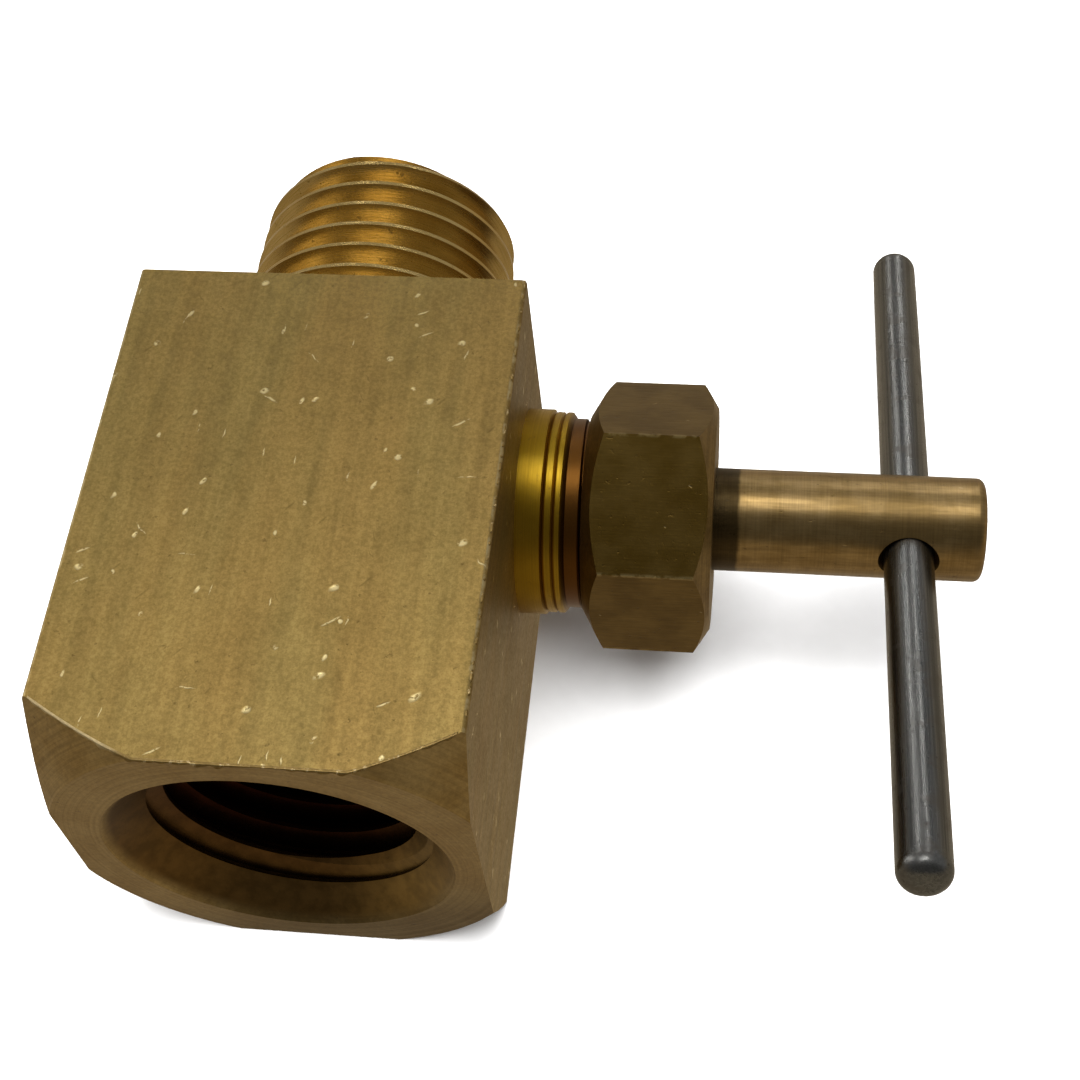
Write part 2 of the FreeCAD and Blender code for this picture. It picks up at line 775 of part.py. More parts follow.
pieces = [make_valve_body(), make_bonnet(), make_bonnet_seal(), make_backing_washer()]
for number, label in enumerate(RINGS):
    pieces.append(make_packing_ring(label, number))
pieces += [make_gland_follower(), make_packing_nut(), make_stem(), make_needle_tip(), make_t_bar()]
doc.recompute()

for item in doc.Objects:
    if "Invalid" in item.State or "Error" in item.State:
        raise RuntimeError(f"{item.Name} failed: {item.State}, {item.getStatusString()}")
for piece in pieces:
    if piece.Shape.isNull() or not piece.Shape.isValid() or len(piece.Shape.Solids) != 1:
        raise RuntimeError(f"{piece.Label} is not one valid solid")

os.makedirs("parts", exist_ok=True)
for piece in pieces:
    piece.Shape.exportStep(f"parts/{piece.Label}.step")
    box = piece.Shape.BoundBox
    print(piece.Label, round(piece.Shape.Volume, 2), "mm3", box)
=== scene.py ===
import math
import random
from collections import namedtuple

import bmesh
import bpy
from mathutils import Matrix, Vector, noise


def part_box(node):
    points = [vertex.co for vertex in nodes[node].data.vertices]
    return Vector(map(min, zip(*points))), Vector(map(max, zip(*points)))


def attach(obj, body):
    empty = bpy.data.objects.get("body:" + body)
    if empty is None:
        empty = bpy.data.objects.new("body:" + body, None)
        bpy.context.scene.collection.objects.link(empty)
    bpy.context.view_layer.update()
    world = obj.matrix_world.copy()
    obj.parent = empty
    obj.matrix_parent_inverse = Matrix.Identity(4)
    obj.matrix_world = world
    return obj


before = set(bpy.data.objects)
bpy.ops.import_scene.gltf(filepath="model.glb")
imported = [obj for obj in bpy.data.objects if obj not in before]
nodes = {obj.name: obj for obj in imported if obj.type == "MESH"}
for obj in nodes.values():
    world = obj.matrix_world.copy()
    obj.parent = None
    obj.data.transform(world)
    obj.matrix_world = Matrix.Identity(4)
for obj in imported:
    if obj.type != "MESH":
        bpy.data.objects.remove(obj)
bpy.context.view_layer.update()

# A brass needle valve, drawn in metres in the CAD frame: +Y along the flow line to the male thread,
# +X out along the stem, +Z up. The CAD pieces keep their shapes and get their finishes here. The
# burrs that the saw and the lathe left on the square body are added as small pieces of their own.

MM = 0.001

# where things are, in millimetres, from the CAD pieces
body_low, body_high = (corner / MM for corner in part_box("valve_body"))
seal_low, seal_high = (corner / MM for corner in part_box("bonnet_seal"))
bar_low, bar_high = (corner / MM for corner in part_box("t_bar"))
STEM_Y = (seal_low.y + seal_high.y) / 2
NUT_END = (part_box("packing_nut")[1] / MM).x
BLOCK_END = 25.7
SINK_RADIUS = 7.9
STEM_RADIUS = 2.5
# the turned front reaches no further back than this
FRONT_REACH = 7.5
# the neck's grooves darken between these radii, and its undercut starts about this far out
GROOVE_TOP, GROOVE_FLOOR = 4.88, 4.74
UNDERCUT_X = 11.25
# the radius that the nut's flats are unrolled at, and the one where its corners are rubbed
NUT_FACE_RADIUS = 6.0
NUT_CORNER_RADIUS = 6.5
# the square bar's rounded long edges lie this far inside its sharp corners, each way
EDGE_INSET = 0.0732
# the front corners are turned to a cone that is a little off the bar's centre
CONE_X, CONE_Z, CONE_RADIUS, CONE_ANGLE = 0.22, 0.12, 10.24, math.radians(40)
BAR_TILT = math.radians(16.46)
BAR_DIRECTION = Vector((0, math.cos(BAR_TILT), -math.sin(BAR_TILT)))

# camera, in millimetres and degrees
AIM = Vector((9.975, 17.062, 0.301))
DISTANCE = 88.688
AZIMUTH = 12.231
ELEVATION = 57.079
ROLL = -7.721
LENS = 61.027
SENSOR_WIDTH = 36.0

# how near and far the camera sees, and half the floor's width, in metres
CLIP_START, CLIP_END = 0.005, 60.0
FLOOR_HALF = 12.0

# the room's light: warm from below, dim above the front where the camera stands, bright behind
BELOW = (0.44, 0.37, 0.27, 1.0)
ABOVE_FRONT = (0.15, 0.15, 0.15, 1.0)
ABOVE_BACK = (0.46, 0.46, 0.47, 1.0)


def add_camera():
    """The camera at the photograph's angle: azimuth 0 looks along +Y."""
    azimuth, elevation, roll = (math.radians(angle) for angle in (AZIMUTH, ELEVATION, ROLL))
    ahead = Vector((-math.sin(azimuth), math.cos(azimuth), 0))
    back = Vector((0, 0, math.sin(elevation))) - ahead * math.cos(elevation)
    level = Vector((math.cos(azimuth), math.sin(azimuth), 0))
    upright = back.cross(level)
    right = level * math.cos(roll) + upright * math.sin(roll)
    up = upright * math.cos(roll) - level * math.sin(roll)
    data = bpy.data.cameras.new("camera")
    data.lens = LENS
    data.sensor_width = SENSOR_WIDTH
    data.clip_start = CLIP_START
    data.clip_end = CLIP_END
    camera = bpy.data.objects.new("camera", data)
    bpy.context.scene.collection.objects.link(camera)
    turn = Matrix((right, up, back)).transposed().to_4x4()
    camera.matrix_world = Matrix.Translation((AIM + back * DISTANCE) * MM) @ turn
    bpy.context.scene.camera = camera


# ---------------------------------------------------------------- finishes

# what a surface looks like at a point: its colour, its roughness, and its height in millimetres
Finish = namedtuple("Finish", "colour roughness height")

# a Mix node's sockets by number: the factor and then the two things mixed, and the result
MIX_COLOUR_INPUTS, MIX_COLOUR_OUTPUT = (0, 6, 7), 2
MIX_VALUE_INPUTS, MIX_VALUE_OUTPUT = (0, 2, 3), 0


class Shader:
    """A material's node tree, with short ways to add the nodes that the finishes share."""

    def __init__(self, name):
        self.material = bpy.data.materials.new(name)
        self.material.use_nodes = True
        self.tree = self.material.node_tree
        self.surface = self.tree.nodes["Principled BSDF"]
        coordinates = self.tree.nodes.new("ShaderNodeTexCoord")
        self.place = self.vector_math("SCALE", coordinates.outputs["Object"], scale=1 / MM)
        self.x, self.y, self.z = self.split(self.place)
        self.normal = self.split(coordinates.outputs["Normal"])

    def put(self, source, socket):
        """Links a socket, or sets it to a plain value."""
        if isinstance(source, bpy.types.NodeSocket):
            self.tree.links.new(source, socket)
        else:
            socket.default_value = source

    def vector_math(self, operation, a, b=None, scale=None):
        node = self.tree.nodes.new("ShaderNodeVectorMath")
        node.operation = operation
        self.put(a, node.inputs[0])
        if b is not None:
            self.put(b, node.inputs[1])
        if scale is not None:
            node.inputs["Scale"].default_value = scale
        return node.outputs["Value"] if operation == "LENGTH" else node.outputs["Vector"]

    def split(self, vector):
        node = self.tree.nodes.new("ShaderNodeSeparateXYZ")
        self.put(vector, node.inputs[0])
        return node.outputs[0], node.outputs[1], node.outputs[2]

    def joined(self, x, y, z):
        node = self.tree.nodes.new("ShaderNodeCombineXYZ")
        for source, socket in zip((x, y, z), node.inputs):
            self.put(source, socket)
        return node.outputs[0]

    def math(self, operation, a, b=0.0, clamp=False):
        node = self.tree.nodes.new("ShaderNodeMath")
        node.operation = operation
        node.use_clamp = clamp
        self.put(a, node.inputs[0])
        self.put(b, node.inputs[1])
        return node.outputs[0]

    def add(self, *terms):
        total = terms[0]
        for term in terms[1:]:
            total = self.math("ADD", total, term)
        return total

    def times(self, a, b):
        return self.math("MULTIPLY", a, b)

    def between(self, value, low, high, start=0.0, end=1.0):
        """A smooth step from start, where the value is at low, to end, where it is at high."""
        node = self.tree.nodes.new("ShaderNodeMapRange")
        node.interpolation_type = "SMOOTHSTEP"
        self.put(value, node.inputs["Value"])
        limits = {"From Min": low, "From Max": high, "To Min": start, "To Max": end}
        for name, number in limits.items():
            node.inputs[name].default_value = number
        return node.outputs["Result"]

    def noise(
        self, scale, detail=3.0, stretch=(1, 1, 1), place=None, shift=0.0, rough=0.55, warp=0.0
    ):
        """Noise with about scale times stretch features to a unit of the place, on each axis."""
        node = self.tree.nodes.new("ShaderNodeTexNoise")
        grid = self.vector_math("MULTIPLY", place or self.place, tuple(stretch))
        self.put(self.vector_math("ADD", grid, (shift, shift, shift)), node.inputs["Vector"])
        node.inputs["Scale"].default_value = scale
        node.inputs["Detail"].default_value = detail
        node.inputs["Roughness"].default_value = rough
        node.inputs["Distortion"].default_value = warp
        return node.outputs["Fac"]

    def marks(self, place, cell, width, share, length=1.0, turn=0.0, shift=0.0):
        """Scattered marks on a flat or unrolled surface, 1 at their middle, in a share of cells.

        Cell and width are in millimetres. A mark is length times as long as it is wide, and points
        the way that turn gives.
        """
        sway = self.times(self.noise(1.0, 2, shift=shift), 0.6)
        rotate = self.tree.nodes.new("ShaderNodeMapping")
        rotate.vector_type = "TEXTURE"
        swayed = self.vector_math("ADD", place, self.joined(sway, sway, 0.0))
        self.put(swayed, rotate.inputs["Vector"])
        rotate.inputs["Location"].default_value = (shift, -shift, 0)
        rotate.inputs["Rotation"].default_value[2] = turn
        rotate.inputs["Scale"].default_value = (length * cell, cell, 1)
        cells = self.tree.nodes.new("ShaderNodeTexVoronoi")
        cells.voronoi_dimensions = "2D"
        self.put(rotate.outputs[0], cells.inputs["Vector"])
        cells.inputs["Scale"].default_value = 1.0
        chosen = self.math("GREATER_THAN", self.split(cells.outputs["Color"])[0], 1 - share)
        reach = width / cell / 2
        near = self.between(cells.outputs["Distance"], reach, reach * 0.35)
        return self.times(near, chosen)

    def mix(self, factor, a, b):
        node = self.tree.nodes.new("ShaderNodeMix")
        node.data_type = "RGBA"
        for source, number in zip((factor, colour_of(a), colour_of(b)), MIX_COLOUR_INPUTS):
            self.put(source, node.inputs[number])
        return node.outputs[MIX_COLOUR_OUTPUT]

    def shade(self, colour, factor):
        """A colour made lighter or darker by a factor."""
        return self.vector_math("MULTIPLY", colour_of(colour), self.joined(factor, factor, factor))

    def mix_value(self, factor, a, b):
        node = self.tree.nodes.new("ShaderNodeMix")
        for source, number in zip((factor, a, b), MIX_VALUE_INPUTS):
            self.put(source, node.inputs[number])
        return node.outputs[MIX_VALUE_OUTPUT]

    def over(self, mask, under, above):
        """Lays one finish on another where the mask is 1."""
        return Finish(
            self.mix(mask, under.colour, above.colour),
            self.mix_value(mask, under.roughness, above.roughness),
            self.mix_value(mask, under.height, above.height),
        )

    def done(self, finish, metallic=1.0):
        """Joins a finish to the surface and returns the material."""
        self.put(colour_of(finish.colour), self.surface.inputs["Base Color"])
        self.put(finish.roughness, self.surface.inputs["Roughness"])
        self.surface.inputs["Metallic"].default_value = metallic
        bump = self.tree.nodes.new("ShaderNodeBump")
        bump.inputs["Strength"].default_value = 1.0
        bump.inputs["Distance"].default_value = MM
        self.put(finish.height, bump.inputs["Height"])
        self.put(bump.outputs[0], self.surface.inputs["Normal"])
        return self.material


def colour_of(source):
    """A colour socket, or a red, green and blue triple with its alpha."""
    return (*source, 1.0) if isinstance(source, tuple) and len(source) == 3 else source


def round_axis(shader, across, up, along):
    """Distance from an axis and the place wrapped round it: turning marks follow these."""
    radius = shader.math("SQRT", shader.add(shader.times(across, across), shader.times(up, up)))
    angle = shader.math("ARCTAN2", up, across)
    return radius, shader.joined(angle, radius, along)


def round_stem(shader):
    """Distance from the stem's axis and the place wrapped round it."""
    across = shader.math("SUBTRACT", shader.y, STEM_Y)
    return round_axis(shader, across, shader.z, shader.x)


def unrolled(shader, wrapped, radius):
    """The wrapped place laid out flat, in millimetres, for a surface of about this radius."""
    angle, _, along = shader.split(wrapped)
    return shader.joined(along, shader.times(angle, radius), 0.0)


def drawn_brass(shader):
    """Dull drawn bar: faint grain along the flow line, stains, small dents and scratches."""
    level = shader.between(shader.math("ABSOLUTE", shader.normal[2]), 0.6, 0.8)
    across = shader.mix_value(level, shader.add(shader.z, 40.0), shader.x)
    face = shader.joined(shader.y, across, 0.0)

    bands = shader.noise(0.16, 3, stretch=(1.6, 0.35, 1.6), shift=3.1)
    blotches = shader.between(shader.noise(0.55, 5, warp=0.5, rough=0.62, shift=1.0), 0.36, 0.66)
    mottle = shader.noise(5.5, 4, rough=0.72, shift=8.0)
    specks = shader.between(shader.noise(3.6, 3, shift=18.0), 0.66, 0.75)
    grain = shader.noise(1.0, 5, stretch=(1.7, 0.09, 1.7), rough=0.62)
    tarnish = shader.between(bands, 0.36, 0.64)
    colour = shader.mix(tarnish, (0.290, 0.190, 0.058), (0.284, 0.199, 0.063))
    colour = shader.mix(shader.times(blotches, 0.22), colour, (0.200, 0.136, 0.040))
    colour = shader.mix(shader.times(specks, 0.55), colour, (0.105, 0.066, 0.022))
    colour = shader.shade(colour, shader.between(grain, 0.30, 0.70, 0.88, 1.12))
    colour = shader.shade(colour, shader.between(mottle, 0.30, 0.72, 0.84, 1.16))

    dents = shader.add(
        shader.marks(face, 2.0, 0.40, 0.16, length=1.4, turn=0.9, shift=2.3),
        shader.marks(face, 1.1, 0.24, 0.14, length=1.6, turn=0.2, shift=7.7),
    )
    scratches = shader.add(
        shader.marks(face, 1.3, 0.13, 0.22, length=7.0, turn=1.05, shift=4.0),
        shader.marks(face, 1.5, 0.12, 0.20, length=8.0, turn=-0.95, shift=9.0),
        shader.marks(face, 1.1, 0.10, 0.12, length=10.0, turn=1.50, shift=14.0),
        shader.marks(face, 0.9, 0.08, 0.20, length=8.0, turn=0.15, shift=19.0),
    )
    broken = shader.between(shader.noise(5.0, 3, shift=40.0), 0.36, 0.50)
    marks = shader.math("MULTIPLY", shader.add(dents, scratches), broken, clamp=True)
    scores = shader.add(
        shader.marks(face, 1.4, 0.13, 0.22, length=6.0, turn=0.70, shift=24.0),
        shader.marks(face, 1.0, 0.09, 0.20, length=8.0, turn=-0.55, shift=29.0),
    )
    colour = shader.mix(shader.times(scores, 0.40), colour, (0.120, 0.080, 0.026))
    # the dents and scratches are coloured bright brass: partly bare metal, partly a painted glint
    colour = shader.mix(shader.times(marks, 0.75), colour, (0.74, 0.61, 0.30))
    # painted sheen: the flats are made lighter towards the front end, standing in for the overhead
    # light they catch there
    colour = shader.shade(colour, shader.between(shader.y, 23.0, 1.0, 0.96, 1.20))
    roughness = shader.add(
        shader.between(mottle, 0.3, 0.7, 0.52, 0.42),
        shader.times(blotches, 0.05),
        shader.times(marks, -0.12),
    )
    height = shader.add(
        shader.times(grain, 0.006),
        shader.times(mottle, 0.007),
        shader.times(specks, -0.006),
        shader.times(marks, -0.018),
    )
    return Finish(colour, roughness, height)


def worn_edges(shader, finish):
    """The bar's long edges are rubbed bright, in broken lengths."""
    x, y, z = (shader.math("ABSOLUTE", part) for part in shader.normal)
    flattest = shader.math("MAXIMUM", shader.math("MAXIMUM", x, y), z)
    turning = shader.between(flattest, 0.995, 0.90)
    broken = shader.between(shader.noise(1.7, 4, shift=1.7), 0.42, 0.64, 0.05, 0.85)
    bright = Finish((0.50, 0.39, 0.19), 0.38, finish.height)
    return shader.over(shader.times(turning, broken), finish, bright)


def turned_brass(shader, wrapped, tint=(0.330, 0.235, 0.098), deep=(0.270, 0.180, 0.064)):
    """Lathe-cut brass: fine rings, an even brown tarnish and a few specks."""
    rings = shader.noise(1.0, 4, stretch=(0.35, 8.0, 8.0), place=wrapped, rough=0.7)
    cloud = shader.noise(0.42, 3, shift=6.0)
    mottle = shader.noise(4.5, 4, rough=0.7, shift=2.0)
    specks = shader.between(shader.noise(3.4, 3, shift=2.0), 0.66, 0.76)
    colour = shader.mix(shader.between(cloud, 0.32, 0.68), tint, deep)
    colour = shader.shade(colour, shader.between(rings, 0.3, 0.72, 0.90, 1.12))
    colour = shader.shade(colour, shader.between(mottle, 0.3, 0.72, 0.86, 1.14))
    colour = shader.mix(shader.times(specks, 0.5), colour, (0.06, 0.04, 0.02))
    roughness = shader.between(rings, 0.3, 0.7, 0.50, 0.42)
    height = shader.add(
        shader.times(rings, 0.006), shader.times(mottle, 0.004), shader.times(specks, -0.006)
    )
    return Finish(colour, roughness, height)


def bright_brass(shader, wrapped, tint=(0.53, 0.380, 0.145), dim=(0.45, 0.310, 0.105)):
    """Freshly cut brass, shiny and golden, with faint cutting lines."""
    rings = shader.noise(1.0, 4, stretch=(0.5, 14.0, 14.0), place=wrapped, rough=0.7)
    cloud = shader.noise(0.4, 3, shift=12.0)
    specks = shader.between(shader.noise(3.0, 3, shift=22.0), 0.64, 0.76)
    colour = shader.mix(shader.between(cloud, 0.32, 0.68), tint, dim)
    colour = shader.shade(colour, shader.between(rings, 0.3, 0.72, 0.90, 1.10))
    colour = shader.mix(shader.times(specks, 0.4), colour, (0.10, 0.06, 0.02))
    roughness = shader.add(shader.between(rings, 0.3, 0.7, 0.30, 0.22), shader.times(specks, 0.2))
    height = shader.add(shader.times(rings, 0.005), shader.times(specks, -0.004))
    return Finish(colour, roughness, height)


def body_finish():
    """The body: dull drawn flats, a turned front, a dark threaded port and a bright male thread."""
    shader = Shader("body_drawn_and_turned")
    across = shader.math("SUBTRACT", shader.x, CONE_X)
    up = shader.math("SUBTRACT", shader.z, CONE_Z)
    radius, wrapped = round_axis(shader, across, up, shader.y)
    flats = worn_edges(shader, drawn_brass(shader))
    front = turned_brass(shader, wrapped)
    # painted shade and reflection: the turned front is made darker towards its lower right and
    # lighter towards its upper left
    slant = shader.add(shader.z, shader.times(shader.x, -0.35))
    painted_front_shade = shader.between(slant, -9.5, -2.5, 0.55, 1.1)
    front = front._replace(colour=shader.shade(front.colour, painted_front_shade))
    facing = shader.between(shader.normal[1], -0.05, -0.25)
    near_front = shader.between(shader.y, FRONT_REACH + 0.5, FRONT_REACH)
    finish = shader.over(shader.times(facing, near_front), flats, front)

    # painted shade: the countersink is coloured darker than the ring round it and darker still
    # towards its lower left, and the port is painted darker with depth, as shade in the hollow
    inside = shader.between(radius, SINK_RADIUS + 0.35, SINK_RADIUS + 0.05)
    depth = shader.between(shader.y, 1.0, 4.6)
    film = shader.noise(1.4, 3, shift=30.0)
    sink_lighter_side = shader.between(shader.add(shader.x, shader.times(shader.z, 0.3)), -2.0, 6.0)
    lip = shader.mix(sink_lighter_side, (0.125, 0.070, 0.020), (0.255, 0.165, 0.050))
    painted_port_shade = shader.mix(depth, lip, (0.055, 0.014, 0.005))
    painted_port_shade = shader.shade(painted_port_shade, shader.between(film, 0.3, 0.7, 0.8, 1.2))
    port = Finish(painted_port_shade, 0.42, front.height)
    in_block = shader.between(shader.y, BLOCK_END - 0.5, BLOCK_END - 0.7)
    past_lip = shader.between(shader.y, 0.0, 0.5)
    finish = shader.over(shader.times(shader.times(inside, past_lip), in_block), finish, port)

    thread = bright_brass(shader, wrapped)
    on_male = shader.between(shader.y, BLOCK_END + 0.02, BLOCK_END + 0.08)
    finish = shader.over(on_male, finish, thread)
    return shader.done(finish)


def neck_finish():
    """The neck is bright brass, with darker rings in its grooves and a brown undercut."""
    shader = Shader("neck_bright_turned")
    radius, wrapped = round_stem(shader)
    finish = bright_brass(shader, wrapped, (0.42, 0.262, 0.022), (0.34, 0.200, 0.013))
    finish = finish._replace(roughness=shader.add(finish.roughness, 0.12))
    groove = shader.between(radius, GROOVE_TOP, GROOVE_FLOOR)
    undercut = shader.between(shader.x, UNDERCUT_X, UNDERCUT_X + 0.2)
    tarnish = Finish((0.130, 0.054, 0.010), 0.38, finish.height)
    stained = shader.math("MAXIMUM", shader.times(groove, 0.7), undercut)
    return shader.done(shader.over(stained, finish, tarnish))


def nut_finish():
    """Tarnished hexagon bar: smooth brown flats with fine grain along the stem."""
    shader = Shader("nut_tarnished")
    radius, wrapped = round_stem(shader)
    face = unrolled(shader, wrapped, NUT_FACE_RADIUS)
    grain = shader.noise(1.0, 4, stretch=(0.9, 11.0, 11.0), rough=0.66)
    cloud = shader.noise(0.5, 3, shift=4.4)
    pits = shader.between(shader.noise(4.4, 3, shift=9.4), 0.64, 0.74)
    tarnish = shader.between(cloud, 0.34, 0.68)
    colour = shader.mix(tarnish, (0.165, 0.103, 0.024), (0.120, 0.071, 0.012))
    colour = shader.shade(colour, shader.between(grain, 0.3, 0.72, 0.90, 1.10))
    colour = shader.mix(shader.times(pits, 0.4), colour, (0.05, 0.03, 0.014))
    nicks = shader.add(
        shader.marks(face, 1.0, 0.10, 0.14, length=2.0, turn=0.5, shift=3.0),
        shader.marks(face, 1.5, 0.06, 0.20, length=6.0, turn=-0.7, shift=6.0),
    )
    colour = shader.mix(shader.times(nicks, 0.45), colour, (0.50, 0.38, 0.18))
    roughness = shader.between(grain, 0.3, 0.7, 0.40, 0.32)
    height = shader.add(
        shader.times(grain, 0.005), shader.times(pits, -0.005), shader.times(nicks, -0.012)
    )
    flats = Finish(colour, roughness, height)
    # the end faces and their chamfers are turned, and the corners are rubbed in places
    turned = turned_brass(shader, wrapped, (0.27, 0.180, 0.064), (0.19, 0.120, 0.036))
    ends = shader.between(shader.math("ABSOLUTE", shader.normal[0]), 0.12, 0.30)
    finish = shader.over(ends, flats, turned)
    rubbed = shader.between(shader.noise(2.2, 3), 0.42, 0.62, 0.0, 0.45)
    at_corner = shader.between(radius, NUT_CORNER_RADIUS - 0.04, NUT_CORNER_RADIUS + 0.04)
    corner = shader.times(at_corner, rubbed)
    return shader.done(shader.over(corner, finish, Finish((0.50, 0.38, 0.17), 0.34, height)))


def stem_finish():
    """The shaft is turned smooth, with hairlines along it and a stain beside the nut."""
    shader = Shader("stem_turned")
    _, wrapped = round_stem(shader)
    face = unrolled(shader, wrapped, STEM_RADIUS)
    rings = shader.noise(1.0, 4, stretch=(0.6, 6.0, 11.0), place=wrapped, rough=0.68)
    hairs = shader.noise(1.0, 3, stretch=(9.0, 1.0, 0.28), place=wrapped, shift=3.0, rough=0.7)
    cloud = shader.noise(0.6, 4, shift=15.0, warp=0.3)
    pits = shader.between(shader.noise(4.0, 3, stretch=(0.6, 1, 1), shift=6.5), 0.64, 0.75)
    tarnish = shader.between(cloud, 0.36, 0.66)
    colour = shader.mix(tarnish, (0.320, 0.215, 0.088), (0.240, 0.155, 0.056))
    colour = shader.shade(colour, shader.between(rings, 0.3, 0.72, 0.88, 1.12))
    colour = shader.shade(colour, shader.between(hairs, 0.3, 0.72, 0.84, 1.18))
    colour = shader.mix(shader.times(pits, 0.45), colour, (0.07, 0.045, 0.02))
    nicks = shader.marks(face, 1.1, 0.07, 0.20, length=5.0, turn=0.2, shift=5.0)
    colour = shader.mix(shader.times(nicks, 0.4), colour, (0.55, 0.42, 0.21))
    roughness = shader.add(
        shader.between(hairs, 0.3, 0.7, 0.40, 0.30), shader.times(pits, 0.15)
    )
    height = shader.add(
        shader.times(rings, 0.004),
        shader.times(hairs, 0.006),
        shader.times(pits, -0.006),
        shader.times(nicks, -0.008),
    )
    finish = Finish(colour, roughness, height)
    wander = shader.times(shader.noise(0.8, 2, shift=2.2), 0.35)
    stained = shader.between(shader.add(shader.x, wander), NUT_END + 1.50, NUT_END + 1.26)
    stain = Finish(shader.shade(colour, 0.24), 0.46, height)
    return shader.done(shader.over(stained, finish, stain))


def bar_finish():
    """Drawn steel rod: grey, with soft darker and brighter lines along it, partly drawing marks and
    partly painted reflection streaks.
    """
    shader = Shader("bar_drawn_steel")
    along = shader.add(
        shader.times(shader.y, BAR_DIRECTION.y), shader.times(shader.z, BAR_DIRECTION.z)
    )
    upward = shader.add(
        shader.times(shader.y, -BAR_DIRECTION.z), shader.times(shader.z, BAR_DIRECTION.y)
    )
    middle = (bar_low + bar_high) / 2
    centre_up = middle.y * -BAR_DIRECTION.z + middle.z * BAR_DIRECTION.y
    centre_along = middle.y * BAR_DIRECTION.y + middle.z * BAR_DIRECTION.z
    across = shader.math("SUBTRACT", shader.x, middle.x)
    up = shader.math("SUBTRACT", upward, centre_up)
    _, wrapped = round_axis(shader, across, up, along)
    # the lines fade out over the rounded ends
    half_length = (bar_high.y - bar_low.y) / 2 / BAR_DIRECTION.y
    from_middle = shader.math("ABSOLUTE", shader.math("SUBTRACT", along, centre_along))
    shaft = shader.between(from_middle, half_length - 0.9, half_length - 1.5)
    lines = shader.noise(1.0, 3, stretch=(5.5, 1.0, 0.055), place=wrapped, rough=0.62)
    lines = shader.mix_value(shaft, 0.5, lines)
    hairs = shader.noise(1.0, 3, stretch=(18.0, 1.0, 0.22), place=wrapped, shift=7.0, rough=0.7)
    hairs = shader.mix_value(shaft, shader.noise(6.0, 3, shift=3.0), hairs)
    stains = shader.between(shader.noise(0.9, 5, shift=18.0, warp=0.5), 0.52, 0.68)
    pits = shader.between(shader.noise(3.6, 3, shift=26.0), 0.64, 0.75)
    # painted reflection, in part: the lines along the rod are coloured dark and light like the
    # reflected streaks of a drawn rod
    streaks = shader.between(lines, 0.36, 0.62)
    colour = shader.mix(streaks, (0.090, 0.092, 0.088), (0.160, 0.158, 0.148))
    colour = shader.shade(colour, shader.between(hairs, 0.3, 0.72, 0.86, 1.16))
    colour = shader.mix(shader.times(stains, 0.30), colour, (0.100, 0.078, 0.056))
    colour = shader.mix(shader.times(pits, 0.5), colour, (0.03, 0.025, 0.02))
    roughness = shader.add(shader.between(hairs, 0.3, 0.7, 0.32, 0.24), shader.times(stains, 0.10))
    height = shader.add(
        shader.times(lines, 0.006), shader.times(hairs, 0.005), shader.times(pits, -0.006)
    )
    return shader.done(Finish(colour, roughness, height))


def needle_finish():
    """Ground steel needle with fine rings."""
    shader = Shader("needle_ground_steel")
    _, wrapped = round_stem(shader)
    rings = shader.noise(1.0, 4, stretch=(0.5, 16.0, 16.0), place=wrapped, rough=0.7)
    cloud = shader.noise(0.9, 4, shift=1.0)
    colour = shader.mix(cloud, (0.46, 0.45, 0.44), (0.30, 0.30, 0.31))
    colour = shader.shade(colour, shader.between(rings, 0.3, 0.7, 0.85, 1.12))
    roughness = shader.between(rings, 0.3, 0.7, 0.30, 0.20)
    return shader.done(Finish(colour, roughness, shader.times(rings, 0.004)))


def copper_finish():
    """Soft copper, a little oxidised."""
    shader = Shader("seal_soft_copper")
    cloud = shader.noise(1.2, 5, warp=0.5)
    grain = shader.noise(9.0, 2, shift=5.0)
    colour = shader.mix(shader.between(cloud, 0.35, 0.65), (0.62, 0.26, 0.13), (0.30, 0.12, 0.06))
    colour = shader.shade(colour, shader.between(grain, 0.3, 0.7, 0.88, 1.1))
    roughness = shader.between(cloud, 0.35, 0.65, 0.32, 0.5)
    return shader.done(Finish(colour, roughness, shader.times(grain, 0.004)))


def packing_finish():
    """White packing, greyed and grained by the stem."""
    shader = Shader("packing_ptfe")
    _, wrapped = round_stem(shader)
    fibres = shader.noise(1.0, 4, stretch=(1.4, 8.0, 8.0), place=wrapped, rough=0.7)
    dirt = shader.between(shader.noise(1.4, 4, shift=7.0), 0.45, 0.68)
    colour = shader.mix(shader.times(dirt, 0.5), (0.78, 0.77, 0.73), (0.34, 0.30, 0.24))
    colour = shader.shade(colour, shader.between(fibres, 0.3, 0.7, 0.92, 1.05))
    roughness = shader.between(fibres, 0.3, 0.7, 0.5, 0.62)
    return shader.done(Finish(colour, roughness, shader.times(fibres, 0.006)), metallic=0.0)


def burr_finish():
    """The burrs are torn metal, brassy with bright spots, and painted with a highlight at the
    front's left end.
    """
    shader = Shader("burr_torn")
    tears = shader.noise(3.4, 4, shift=3.0, rough=0.65)
    spots = shader.between(tears, 0.54, 0.68, 0.0, 0.8)
    # painted highlight: the burrs are coloured brighter towards the front's left end
    left = shader.between(shader.x, -4.6, -5.8, 0.0, 0.8)
    bright_metal_and_highlight = shader.math("MAXIMUM", spots, left)
    colour = shader.mix(bright_metal_and_highlight, (0.280, 0.185, 0.062), (0.66, 0.52, 0.27))
    colour = shader.shade(colour, shader.between(tears, 0.3, 0.7, 0.85, 1.12))
    roughness = shader.between(tears, 0.3, 0.7, 0.46, 0.34)
    return shader.done(Finish(colour, roughness, shader.times(tears, 0.012)))


